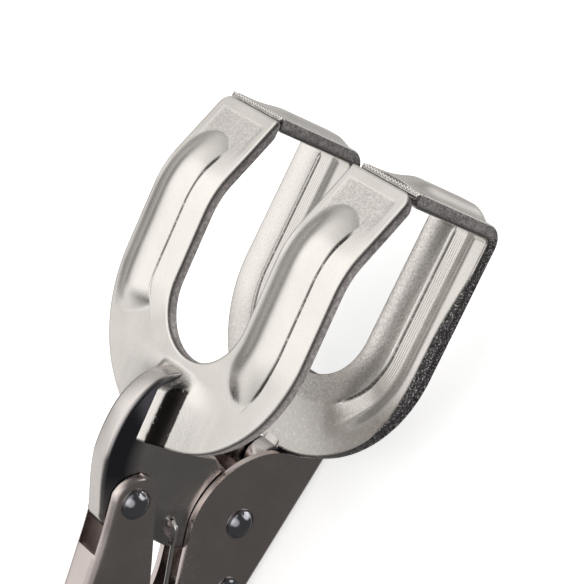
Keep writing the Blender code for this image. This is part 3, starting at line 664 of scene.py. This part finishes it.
def stops_across(inner, outer, centre, features, spacing):
    """Positions across a plate, closer together at (distance from centre, reach, step)."""
    values = set(np.round(np.linspace(inner, outer, int((outer - inner) / spacing)), 3))
    for place, reach, step in features:
        for sign in (-1, 1):
            middle_at = centre + sign * place
            values = {v for v in values if abs(v - middle_at) > reach}
            values |= set(np.round(np.arange(-reach, reach + 1e-6, step) + middle_at, 3))
    values = sorted(v for v in values if inner < v < outer)
    out = [inner]
    for v in values:
        if v - out[-1] > 0.06:
            out.append(v)
    return np.array(out + [outer])


def arc_angles(fine_half, fine_step, step):
    """Angles round the U, closer together in the middle where the neck joins."""
    mid = pi / 2
    outer = np.arange(0.0, mid - fine_half, radians(step))
    inner = np.arange(mid - fine_half, mid, radians(fine_step))
    half = np.concatenate([outer, inner])
    return np.concatenate([half, [mid], (pi - half)[::-1]])


NECK_EDGE = 1.3


def build_movable_jaw():
    arm = arm_stations(FRONT_END, 0.6, np.arange(PILLOW_END - 4, FRONT_END - 1, 0.3),
                       FRONT_CORNER)
    stops = stops_across(FRONT_INNER, FRONT_OUTER, FRONT_CENTRE, [(-CREASE, 0.8, 0.10)], 0.42)
    jaw = u_plate("movable_jaw_plate", arm, arc_angles(radians(22), 0.7, 1.8), stops,
                  FRONT_THICKNESS, 0.55, FRONT_CORNER, front_place, nickel)
    web = [(32.4, 31.5), (30.9, 37.0), (27.9, 41.0), (22.7, 43.8), (17.0, 44.8), (11.0, 44.7),
           (7.5, 43.9), (3.0, 42.3), (-3.0, 39.6)]
    eye = to_jaw(HANDLE_PIVOT.x, HANDLE_PIVOT.z)
    outline = (rounded(web, 5, closed=False) + arc(eye, 8.2, 130, 215, 12)
               + rounded([(eye[0] - 6.9, eye[1] - 5.0), (-9.4, 15.0), (-7.9, 3.2)], 5, False)[1:-1]
               + arc((0.0, 0.0), 8.2, 160, 380, 26)
               + rounded([(8.6, 2.6), (12.4, 10.6), (14.4, 14.5), (14.6, 22.0), (15.5, 29.0),
                          (18.5, 31.0)], 5, False)[1:])
    neck = plate("movable_jaw_neck", outline, NECK_HALF, NECK_EDGE, neck_metal, in_jaw=True)
    spring_eye = Vector((SPRING_EYE[0], 0.0, SPRING_EYE[1]))
    for sign in (-1, 1):
        dish = turned("dish", [(0.0, -0.6), (1.4, -0.55), (2.6, -0.32), (3.4, 0.0), (3.6, 1.0),
                               (0.0, 1.0)] if sign > 0 else
                      [(0.0, -1.0), (3.6, -1.0), (3.4, 0.0), (2.6, 0.32), (1.4, 0.55), (0.0, 0.6)],
                      "Y", (spring_eye.x, sign * NECK_HALF, spring_eye.z), None, 40)
        boolean(neck, dish, "DIFFERENCE")
    hole = turned("hole", [(1.3, -6.0), (1.3, 6.0)], "Y", tuple(spring_eye), None, 24)
    boolean(neck, hole, "DIFFERENCE")
    neck.data.shade_smooth()
    neck.data.set_sharp_from_angle(angle=radians(35))
    for piece in (jaw, neck):
        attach(piece, "movable_jaw")
    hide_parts("movable_jaw")


def build_fixed_jaw():
    bend = np.linspace(REAR_STRAIGHT, REAR_STRAIGHT + REAR_BEND, 12)
    arm = arm_stations(REAR_END, 0.75, bend, REAR_CORNER)
    stops = stops_across(REAR_INNER, REAR_OUTER, REAR_CENTRE,
                         [(GROOVE_FOOT, 0.8, 0.11), (0.4, 1.2, 0.13),
                          (REAR_OUTER - 1.4 - REAR_CENTRE, 0.9, 0.15)], 0.45)
    jaw = u_plate("fixed_jaw_plate", arm, arc_angles(radians(22), 1.2, 1.8), stops,
                  REAR_THICKNESS, 0.5, REAR_CORNER, rear_place, nickel)
    spine = SHEET + 0.3
    belly = [(38.0, 16.0), (34.0, 10.5), (29.0, 5.6), (24.0, 2.6), (20.5, spine)]
    back = rounded(belly, 6, closed=False)
    tang = [(-19.0, spine)] + arc((-19.0, 6.4), 4.4, -90, -180, 6)[1:] + [(-23.0, 10.0)]
    top = [(-21.5, 11.4), (-11.5, 11.4)]
    pivot = arc((JAW_PIVOT.x, JAW_PIVOT.z), 8.6, 200, 368, 20)
    knob = arc((15.3, 13.5), 4.8, 153, 24, 16)
    outline = [to_jaw(x, z) for x, z in back + tang + top + pivot + knob]
    neck = plate("fixed_jaw_neck", outline, NECK_HALF, 1.0, neck_metal, in_jaw=True)
    comb = build_comb()
    for piece in (jaw, neck, *comb):
        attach(piece, "fixed_handle")
    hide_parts("fixed_jaw")


def build_comb():
    """Gripping teeth along the outer edge of each pad's end face."""
    made = []
    pitch, teeth, height = 1.0, 18, 1.1
    for sign, word in ((-1, "right"), (1, "left")):
        middle_y = sign * REAR_CENTRE
        count = teeth * 8 + 1
        y = np.linspace(-teeth * pitch / 2, teeth * pitch / 2, count)
        wave = np.abs(np.cos(pi * y / pitch)) ** 0.8
        levels = np.array([0.0, 0.10, 0.3, 0.7, 1.0])
        swell = np.array([0.35, 0.85, 1.0, 0.9, 0.1])
        rings = np.zeros((len(levels), 2 * count, 3))
        for i, (level, share) in enumerate(zip(levels, swell)):
            c = MATING_C - HALF_GAP - height * level
            front = 89.4 + 0.65 * wave * share + 0.05 * share
            inner = np.full(count, 88.4)
            a = np.concatenate([front, inner])
            across = np.concatenate([y, y[::-1]]) + middle_y
            rings[i] = to_row(a, across, np.full(2 * count, c))
        teeth_piece = tube(f"pad_teeth_{word}", rings, nickel)
        at_y = np.array([v.co.y for v in teeth_piece.data.vertices]) / MM - middle_y
        # painted shade in the gaps between the teeth
        tooth_gap_shade = 1 - np.abs(np.cos(pi * at_y / pitch)) ** 0.8
        mask = teeth_piece.data.attributes.new("line", "FLOAT", "POINT")
        mask.data.foreach_set("value", (0.6 * tooth_gap_shade).astype(np.float32))
        made.append(teeth_piece)
    return made


# ------------------------------------------------------------------ handles

def slab(name, steps_u, steps_v, place, mat):
    """Closed sheet bent to shape by place(i, j, w): w is 0 on one face and 1 on the other."""
    rows, cols = steps_u + 1, steps_v + 1
    verts = [place(i, j, w) for w in (0, 1) for i in range(rows) for j in range(cols)]
    size = rows * cols
    faces = []
    for w in (0, 1):
        for i in range(steps_u):
            for j in range(steps_v):
                k = w * size + i * cols + j
                faces.append((k, k + 1, k + cols + 1, k + cols))
    rim = ([i * cols for i in range(rows)] + [(rows - 1) * cols + j for j in range(1, cols)]
           + [i * cols + cols - 1 for i in range(rows - 2, -1, -1)]
           + [j for j in range(cols - 2, 0, -1)])
    for k, m in zip(rim, rim[1:] + rim[:1]):
        faces.append((k, m, m + size, k + size))
    obj = make_object(name, verts, faces, mat)
    face_out(obj)
    return obj


WALL_STEPS, FOLD_STEPS, WEB_STEPS = 8, 5, 4
FOLD_RADIUS, CHANNEL_EDGE = 0.9, 0.45
GRIP_HALF = 5.4                            # half the channel's inner width at the grip


def channel(j, half, web, edge, w):
    """Point j of a folded channel's section. w is 0 inside and 1 outside."""
    radius = FOLD_RADIUS + SHEET * w
    height = abs(edge - web)
    toward = 1 if edge > web else -1
    last = 2 * (WALL_STEPS + FOLD_STEPS) + WEB_STEPS
    mirrored = j > last / 2
    k = last - j if mirrored else j
    if k <= WALL_STEPS:
        y, h = half + SHEET * w, height + (FOLD_RADIUS - height) * k / WALL_STEPS
    elif k <= WALL_STEPS + FOLD_STEPS:
        angle = pi / 2 * (k - WALL_STEPS) / FOLD_STEPS
        y = half - FOLD_RADIUS + radius * cos(angle)
        h = FOLD_RADIUS - radius * sin(angle)
    else:
        share = (k - WALL_STEPS - FOLD_STEPS) / (WEB_STEPS / 2)
        y = (half - FOLD_RADIUS) * (1 - share)
        h = -SHEET * w
    return (y if mirrored else -y), web + toward * h


def step01(low, high, x):
    return float(smooth(low, high, x))


FIXED_TAIL, MOVING_TAIL = -118.0, -128.0
DISC, DISC_RADIUS = (0.6, 9.6), 19.3
FIXED_EDGE = [(-118.0, 15.2), (-90.0, 15.6), (-60.0, 15.2), (-47.5, 15.6), (-35.0, 16.8),
              (-22.0, 20.2), (-12.0, 24.6), (-5.7, 27.7)]
FIXED_STATIONS = (list(np.arange(FIXED_TAIL, -6.5, 1.25))
                  + [DISC[0] + DISC_RADIUS * cos(radians(t)) for t in range(108, -1, -4)])


def fixed_place(i, j, w):
    x = FIXED_STATIONS[i]
    if x < -5.0:
        edge = through(FIXED_EDGE, x)
    else:
        edge = DISC[1] + sqrt(max(0.0, DISC_RADIUS ** 2 - (x - DISC[0]) ** 2))
    half = GRIP_HALF + (CLEAR_HALF - GRIP_HALF) * step01(-40.0, -14.0, x)
    y, z = channel(j, half, SHEET, edge, w)
    lean = 0.28 * max(0.0, DISC[1] - z) * step01(8.0, 20.0, x)
    return x + lean, y, z


WEB_LINE = [(-128.0, 50.0), (-105.0, 46.3), (-80.0, 41.8), (-60.0, 39.8), (-42.0, 41.8),
            (-17.0, 49.3), (-5.0, 53.9)]
WALL_LINE = [(-128.0, 36.5), (-105.0, 31.5), (-80.0, 25.6), (-62.0, 21.0), (-47.5, 17.4),
             (-36.0, 20.5), (-20.0, 30.5), (-5.0, 40.7)]
EAR_RADIUS, EAR_SLOPE, WEB_FRONT = 6.6, 0.78, -19.5
MOVING_STATIONS = (list(np.arange(MOVING_TAIL, HANDLE_PIVOT.x - 0.8, 1.25))
                   + [HANDLE_PIVOT.x + EAR_RADIUS * cos(radians(t)) for t in range(90, -1, -6)])


def moving_place(i, j, w):
    x = MOVING_STATIONS[i]
    if x < HANDLE_PIVOT.x:
        web, edge = through(WEB_LINE, x), through(WALL_LINE, x)
    else:
        web = HANDLE_PIVOT.z + sqrt(max(0.0, EAR_RADIUS ** 2 - (x - HANDLE_PIVOT.x) ** 2))
        edge = WALL_LINE[-1][1] + EAR_SLOPE * (x - WALL_LINE[-1][0])
        web = max(web, edge + 2 * SHEET + 1.0)
    half = GRIP_HALF + (CLEAR_HALF - GRIP_HALF) * step01(-68.0, -54.0, x)
    y, z = channel(j, half, web - SHEET, edge, w)
    return x, y, z


def box_tool(low, high):
    grid = np.array([[[x, low[1], low[2]], [x, high[1], low[2]], [x, high[1], high[2]],
                      [x, low[1], high[2]]] for x in (low[0], high[0])], float)
    return tube("tool", grid)


def build_handles():
    steps = 2 * (WALL_STEPS + FOLD_STEPS) + WEB_STEPS
    fixed = slab("fixed_handle_channel", len(FIXED_STATIONS) - 1, steps, fixed_place, plated)
    bevel_edges(fixed, CHANNEL_EDGE)
    moving = slab("movable_handle_channel", len(MOVING_STATIONS) - 1, steps, moving_place, plated)
    boolean(moving, box_tool((WEB_FRONT, -CLEAR_HALF, HANDLE_PIVOT.z - 12),
                             (HANDLE_PIVOT.x + 12, CLEAR_HALF, HANDLE_PIVOT.z + 14)), "DIFFERENCE")
    bevel_edges(moving, CHANNEL_EDGE)
    for piece, body in ((fixed, "fixed_handle"), (moving, "movable_handle")):
        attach(piece, body)
        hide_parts(body)


# ------------------------------------------------------------------ small pieces

def build_link():
    pivot = (LINK_PIVOT.x, LINK_PIVOT.z)
    heading, length, eye_radius, foot_radius = 206.5, 27, 5.2, 4.0
    foot = (pivot[0] + length * cos(radians(heading)), pivot[1] + length * sin(radians(heading)))
    outline = (arc(pivot, eye_radius, heading + 78, heading + 282, 30)
               + arc(foot, foot_radius, heading - 80, heading + 80, 20))
    link = plate("toggle_link_bar", outline, NECK_HALF, 0.7, plated)
    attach(link, "toggle_link")
    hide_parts("toggle_link")


def build_lever():
    x, z = LEVER_PIVOT.x, LEVER_PIVOT.z
    rough = ([(x + 17.5, z - 4.2), (x + 15.5, z - 2.6), (x + 8.0, z + 1.4)]
             + arc((x, z), 4.4, 40, 140, 6)
             + [(x - 12.0, z + 1.6), (x - 30.0, z + 3.4), (x - 46.0, z + 6.8)]
             + arc((x - 54.0, z + 6.2), 2.6, 80, 260, 6)
             + [(x - 46.0, z + 3.8), (x - 30.0, z + 0.8), (x - 12.0, z - 1.2)]
             + arc((x, z), 4.4, 215, 310, 6) + [(x + 8.0, z - 2.8), (x + 16.5, z - 5.6)])
    lever = plate("release_lever_blade", rounded(rough, 3), 4.6, 1.1, plated)
    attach(lever, "release_lever")
    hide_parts("release_lever")


def build_rivets():
    """Domed heads with a thin seating ring, and the shank between them."""
    large, small = (2.4, 4.0, 2.15), (1.6, 2.8, 1.2)      # shank, head and height of the head
    front, grip = CLEAR_HALF + SHEET, GRIP_HALF + SHEET
    rivets = [("jaw_pivot_rivet", front, large, "fixed_handle"),
              ("handle_pivot_rivet", front, large, "movable_handle"),
              ("link_rivet", front, large, "movable_handle"),
              ("lever_rivet", grip, large, "movable_handle"),
              ("tang_rivet", front + 0.1, small, "fixed_handle"),
              ("spring_anchor_pin", grip, small, "fixed_handle")]
    for node, half, (shank, head, height), body in rivets:
        seat = half + 0.06
        rim = 0.35
        rise = height - rim
        cap = 0.84 * head
        ball = (cap ** 2 + rise ** 2) / (2 * rise)
        widest = asin(cap / ball)
        dome = [(ball * sin(widest * k / 14), seat + height - ball + ball * cos(widest * k / 14))
                for k in range(15)]
        lip = 0.92 * head
        dome += [(lip, seat + rim), (lip, seat + rim * 0.3), (lip - 0.1, seat)]
        profile = dome + [(shank, seat), (shank, -seat)] + [(r, -h) for r, h in reversed(dome)]
        centre = middle(node)
        piece = turned(node + "_turned", profile, "Y", (centre.x, 0.0, centre.z), mirror, 72)
        piece.data.set_sharp_from_angle(angle=radians(50))
        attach(piece, body)
        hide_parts(node)


def build_screw():
    pitch, depth = 1.5, 0.62
    length = SCREW_HIGH.x - SCREW_LOW.x
    radius = (SCREW_HIGH.z - SCREW_LOW.z) / 2
    start, fine = 6.0, 0.125

    def thread(r, height, angles):
        if r < radius - 0.05 or height > -start:
            return 0.0
        phase = (height / pitch + angles / (2 * pi)) % 1.0
        tooth = np.clip(np.abs(phase - 0.5) * 2.6 - 0.25, 0.0, 1.0)
        return -depth * tooth * min(1.0, (-start - height) / 1.5)

    profile = [(0.0, 0.0), (1.2, -0.05), (2.2, -0.4), (3.0, -1.2), (3.3, -2.2), (3.35, -3.2),
               (3.5, -3.5), (radius, -4.2), (radius, -5.9)]
    profile += [(radius, -start - fine * k) for k in range(int((length - start) / fine))]
    profile += [(radius, -length + 0.02), (0.0, -length)]
    screw = turned("adjusting_screw_rod", profile, "X", (SCREW_HIGH.x, 0.0, SCREW_Z), steel, 40,
                   thread)
    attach(screw, "adjusting_screw")
    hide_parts("adjusting_screw")

    rim = (KNOB_HIGH.z - KNOB_LOW.z) / 2
    face = KNOB_HIGH.x
    long = KNOB_HIGH.x - KNOB_LOW.x
    bore, floor = 4.3, -6.3

    def knurl(r, height, angles):
        if r < rim - 0.05:
            return 0.0
        turns = 34
        first = np.abs(((angles * turns / (2 * pi) + height / 1.5) % 1.0) - 0.5)
        second = np.abs(((angles * turns / (2 * pi) - height / 1.5) % 1.0) - 0.5)
        return -0.34 * np.clip(1.0 - 2.6 * np.minimum(first, second), 0.0, 1.0)

    profile = [(0.0, floor), (bore, floor), (bore, -0.3), (bore + 0.3, 0.0), (5.7, 0.0),
               (6.1, -0.15), (6.9, -1.2), (rim - 0.12, -2.3)]
    profile += [(rim, h) for h in np.arange(-2.6, -12.9, -0.22)]
    profile += [(rim - 0.12, -13.2), (rim - 0.9, -14.0), (rim - 1.5, -14.4), (3.2, -long),
                (2.6, -long + 0.5), (0.0, -long + 0.6)]
    knob = turned("screw_knob_knurled", profile, "X", (face, 0.0, SCREW_Z), knurled, 272, knurl)
    knob.data.set_sharp_from_angle(angle=radians(45))
    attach(knob, "screw_knob")
    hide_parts("screw_knob")


def build_spring():
    eye, anchor = Vector(SPRING_EYE), Vector((ANCHOR.x, ANCHOR.z))
    along = (anchor - eye).normalized()
    length = (anchor - eye).length
    out = Vector((-along.y, along.x))
    radius, coil_radius, pitch, turns, per_turn = 0.5, 2.4, 1.3, 18, 24
    reach = NECK_HALF + 0.3 + radius

    def at(distance, off, y):
        point = eye + along * distance + out * off
        return (point.x, y, point.y)

    coil_end = length - 4.6
    coil_start = coil_end - pitch * turns
    hook = [at(-0.2, 0, 2.4), at(-0.3, 0, 0.6), at(-0.35, 0, -1.6), at(-0.1, 0, -2.9),
            at(0.7, 0, -reach - 0.15), at(2.2, 0, -reach - 0.25), at(4.4, 0, -reach),
            at(6.4, 0, -3.4), at(coil_start - 2.6, 0, -2.5), at(coil_start - 1.0, -0.6, -2.45)]
    coil = [at(coil_start + pitch * s / per_turn, coil_radius * sin(2 * pi * s / per_turn),
               -coil_radius * cos(2 * pi * s / per_turn)) for s in range(turns * per_turn + 1)]
    loop = 1.6 + 0.3 + radius
    tail = [at(coil_end + 0.9, 0.7, -1.7), at(coil_end + 1.5, 1.2, -0.6)]
    tail += [at(length + loop * cos(radians(t)), loop * sin(radians(t)), 0.0)
             for t in np.linspace(140, -120, 14)]
    hook, tail = (rounded(part, 5, closed=False) for part in (hook, tail))
    points = hook[:-1] + coil + tail[1:]
    spring = wire("jaw_spring_coil", points, radius, spring_wire, 12)
    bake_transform(spring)
    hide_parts("jaw_spring")


# ------------------------------------------------------------------ studio

# direction, inner and outer angle in degrees, level
WORLD_CARDS = [
    ((0.0, 0.12, 1.0), 24, 62, 1.14),
    ((-0.75, 0.65, 0.12), 14, 36, 0.78),
    ((-0.28, 0.75, 0.60), 10, 30, 0.18),
    ((0.42, 0.75, 0.52), 14, 38, 0.22),
    ((0.86, 0.50, 0.10), 14, 42, 0.42),
    ((0.0, 1.0, -0.10), 10, 42, 0.14),
    ((0.12, 0.68, -0.72), 18, 50, 0.46),
    ((-0.15, -0.76, 0.62), 18, 32, 0.80),
    ((0.86, -0.38, -0.34), 19, 31, 1.6),
    ((0.72, 0.02, -0.70), 10, 24, 1.1),
]
WORLD_BASE, WORLD_FILL, FLOOR_GLOW = 0.11, 0.85, 0.48
FLOOR_HALF, FLOOR_Z = 2500.0, -0.05
KEY_PLACE, KEY_POWER = (-0.25, 0.55, 0.95), 3.0


def build_studio():
    floor_mat = bpy.data.materials.new("studio_floor")
    floor_mat.use_nodes = True
    g = Graph(floor_mat.node_tree)
    coords = g.add("TexCoord").outputs["Object"]
    soft = g.range(g.noise(coords, 3.0), 0.3, 0.7, 0.975, 1.0)
    color = g.mix(soft, (0.0, 0.0, 0.0), (0.95, 0.95, 0.95))
    shader = g.add("BsdfPrincipled", {"Base Color": color, "Roughness": 0.9,
                                      "Emission Color": (1.0, 1.0, 1.0),
                                      "Emission Strength": FLOOR_GLOW})
    g.feed(g.add("OutputMaterial").inputs[0], shader)
    square = [(FLOOR_HALF * x, FLOOR_HALF * y, FLOOR_Z)
              for x, y in ((-1, -1), (1, -1), (1, 1), (-1, 1))]
    floor = make_object("studio_floor", square, [(0, 1, 2, 3)], floor_mat)
    floor.visible_glossy = False

    world = bpy.data.worlds.new("studio")
    bpy.context.scene.world = world
    world.use_nodes = True
    g = Graph(world.node_tree)
    direction = g.add("TexCoord").outputs["Generated"]

    def card(toward, inner, outer, level):
        """A soft patch of light in one direction."""
        v = Vector(toward).normalized()
        dot = g.add("VectorMath", {0: direction, 1: tuple(v)}, operation="DOT_PRODUCT")
        edge = g.range(dot.outputs["Value"], cos(radians(outer)), cos(radians(inner)))
        return g.math("MULTIPLY", edge, level)

    total = WORLD_BASE
    for item in WORLD_CARDS:
        total = g.math("ADD", card(*item), total)
    glow = g.add("CombineColor", {0: g.math("MULTIPLY", total, 1.01), 1: total,
                                  2: g.math("MULTIPLY", total, 0.975)}).outputs[0]
    path = g.add("LightPath")
    filled = g.mix(path.outputs["Is Diffuse Ray"], glow, (WORLD_FILL,) * 3)
    seen = g.mix(path.outputs["Is Camera Ray"], filled, (1.0, 1.0, 1.0))
    background = g.add("Background", {"Color": seen, "Strength": 1.0})
    g.feed(g.add("OutputWorld").inputs[0], background)

    key = bpy.data.lights.new("key", "AREA")
    key.shape = "RECTANGLE"
    key.size, key.size_y = 0.9, 0.7
    key.energy = KEY_POWER
    lamp = bpy.data.objects.new("key", key)
    lamp.location = KEY_PLACE
    lamp.rotation_mode = "QUATERNION"
    lamp.rotation_quaternion = (-Vector(KEY_PLACE)).to_track_quat("-Z", "Y")
    lamp.visible_glossy = False
    bpy.context.scene.collection.objects.link(lamp)
    bpy.context.scene.view_settings.view_transform = "Standard"


# fitted to the outlines of the object in the photo; place in metres
CAMERA_LENS, CAMERA_PLACE = 119.18, (0.0645091, -0.3028900, 0.3476817)
CAMERA_AXES = ((0.5231, -0.6017, -0.6036), (0.8519, 0.3922, 0.3473), (0.0278, -0.6958, 0.7177))


def build_camera():
    data = bpy.data.cameras.new("camera")
    data.lens = CAMERA_LENS
    data.sensor_width = 36.0
    camera = bpy.data.objects.new("camera", data)
    turn = Matrix(CAMERA_AXES).transposed()
    camera.matrix_world = Matrix.Translation(CAMERA_PLACE) @ turn.to_4x4()
    bpy.context.scene.collection.objects.link(camera)
    bpy.context.scene.camera = camera


build_camera()
build_studio()
build_movable_jaw()
build_fixed_jaw()
build_handles()
build_link()
build_lever()
build_rivets()
build_screw()
build_spring()
collar = nodes["screw_collar"]
for slot in collar.material_slots:
    slot.material = steel
